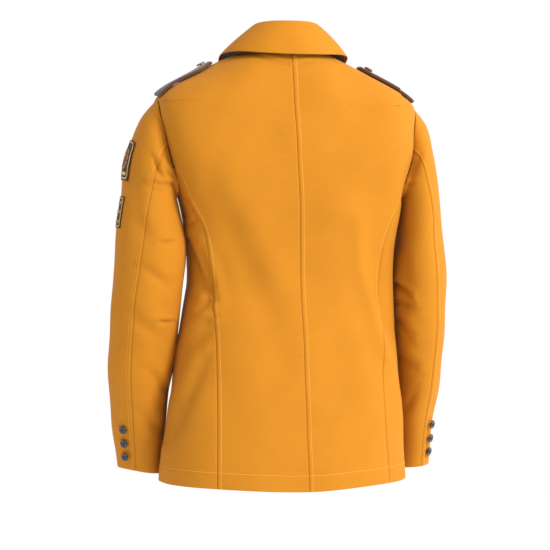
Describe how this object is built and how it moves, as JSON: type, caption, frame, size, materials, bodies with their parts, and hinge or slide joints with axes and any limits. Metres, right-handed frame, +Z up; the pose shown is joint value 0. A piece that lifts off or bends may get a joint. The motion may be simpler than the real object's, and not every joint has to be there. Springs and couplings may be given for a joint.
{
  "type": "field jacket",
  "caption": "Military-style cotton field jacket with a turned-down collar, shoulder straps, two-piece sleeves, patch pockets and a buttoned front, hanging as worn.",
  "frame": {"origin": "centre of the neck opening, level with the base of the neck", "axes": "+Z up, the wearer faces -Y, +X is the wearer's left side"},
  "size_m": [0.5846, 0.2673, 0.785],
  "materials": {
    "twill": "mustard cotton twill, soft sheen",
    "under_collar": "dark navy felt",
    "lining": "navy satin",
    "padding": "pale grey felt",
    "strap_rib": "brown ribbed corduroy",
    "strap_button": "tan horn look",
    "button": "dark navy, half gloss",
    "embroidery": "dark embroidery with cream and gold thread",
    "label": "plain woven label"
  },
  "bodies": {
    "torso": {"back_panel_left": "twill", "side_back_left": "twill", "chest_left": "twill", "chest_lining_left": "lining", "back_lining_left": "lining", "lapel_left": "twill", "shoulder_pad_left": "padding", "sleeve_head_left": "twill", "back_panel_right": "twill", "side_back_right": "twill", "chest_right": "twill", "chest_lining_right": "lining", "back_lining_right": "lining", "lapel_right": "twill", "shoulder_pad_right": "padding", "sleeve_head_right": "twill", "breast_welt": "twill", "collar_fall": "twill", "under_collar": "under_collar", "collar_stand": "twill", "hanger_loop": "lining", "neck_label": "label"},
    "sleeve_upper_left": {"top_sleeve_upper_left": "twill", "under_sleeve_upper_left": "twill", "sleeve_elbow_left": "twill", "badge_lower": "embroidery", "badge_upper": "embroidery"},
    "sleeve_lower_left": {"top_sleeve_lower_left": "twill", "under_sleeve_lower_left": "twill", "sleeve_lining_left": "lining", "cuff_button_1_left": "button", "cuff_button_2_left": "button", "cuff_button_3_left": "button"},
    "shoulder_strap_left": {"epaulette_left": "strap_rib", "epaulette_button_left": "strap_button"},
    "front_left": {"front_panel_left": "twill", "facing_left": "twill", "front_lining_left": "lining", "pocket_left": "twill", "front_button_1": "button", "front_button_2": "button", "front_button_3": "button"},
    "flap_left": {"pocket_flap_left": "twill"},
    "sleeve_upper_right": {"top_sleeve_upper_right": "twill", "under_sleeve_upper_right": "twill", "sleeve_elbow_right": "twill"},
    "sleeve_lower_right": {"top_sleeve_lower_right": "twill", "under_sleeve_lower_right": "twill", "sleeve_lining_right": "lining", "cuff_button_1_right": "button", "cuff_button_2_right": "button", "cuff_button_3_right": "button"},
    "shoulder_strap_right": {"epaulette_right": "strap_rib", "epaulette_button_right": "strap_button"},
    "front_right": {"front_panel_right": "twill", "facing_right": "twill", "front_lining_right": "lining", "pocket_right": "twill"},
    "flap_right": {"pocket_flap_right": "twill"}
  },
  "joints": [
    {"name": "shoulder_left", "type": "hinge", "parent": "torso", "child": "sleeve_upper_left", "pos_m": [0.194, 0, -0.12], "axis": [0, -1, 0], "range_deg": [0, 55], "deforming": ["sleeve_head_left"]},
    {"name": "elbow_left", "type": "hinge", "parent": "sleeve_upper_left", "child": "sleeve_lower_left", "pos_m": [0.241, 0.003, -0.43], "axis": [-1, 0, 0], "range_deg": [0, 70], "deforming": ["sleeve_elbow_left"]},
    {"name": "shoulder_strap_left", "type": "hinge", "parent": "torso", "child": "shoulder_strap_left", "pos_m": [0.2193, 0, -0.0584], "axis": [0, 1, 0], "range_deg": [0, 95]},
    {"name": "shoulder_right", "type": "hinge", "parent": "torso", "child": "sleeve_upper_right", "pos_m": [-0.198, 0, -0.1269], "axis": [0, 1, 0], "range_deg": [0, 55], "deforming": ["sleeve_head_right"]},
    {"name": "elbow_right", "type": "hinge", "parent": "sleeve_upper_right", "child": "sleeve_lower_right", "pos_m": [-0.239, -0.024, -0.43], "axis": [-1, 0, 0], "range_deg": [0, 70], "deforming": ["sleeve_elbow_right"]},
    {"name": "shoulder_strap_right", "type": "hinge", "parent": "torso", "child": "shoulder_strap_right", "pos_m": [-0.2193, 0, -0.0683], "axis": [0, -1, 0], "range_deg": [0, 95]},
    {"name": "front_left_open", "type": "hinge", "parent": "torso", "child": "front_left", "pos_m": [0.1872, -0.0276, -0.486], "axis": [-0.0692, -0.065, 0.9955], "range_deg": [0, 21]},
    {"name": "front_right_open", "type": "hinge", "parent": "torso", "child": "front_right", "pos_m": [-0.1897, -0.0619, -0.486], "axis": [-0.0232, -0.0626, -0.9978], "range_deg": [0, 15.75]},
    {"name": "flap_left", "type": "hinge", "parent": "front_left", "child": "flap_left", "pos_m": [0.1116, -0.0967, -0.4875], "axis": [-0.8727, -0.4882, 0], "range_deg": [0, 80]},
    {"name": "flap_right", "type": "hinge", "parent": "front_right", "child": "flap_right", "pos_m": [-0.1015, -0.1182, -0.4875], "axis": [-0.9523, 0.3053, 0], "range_deg": [0, 80]}
  ],
  "couplings": [
    {"joint": "front_right_open", "follows": "front_left_open", "ratio": 0.75}
  ]
}
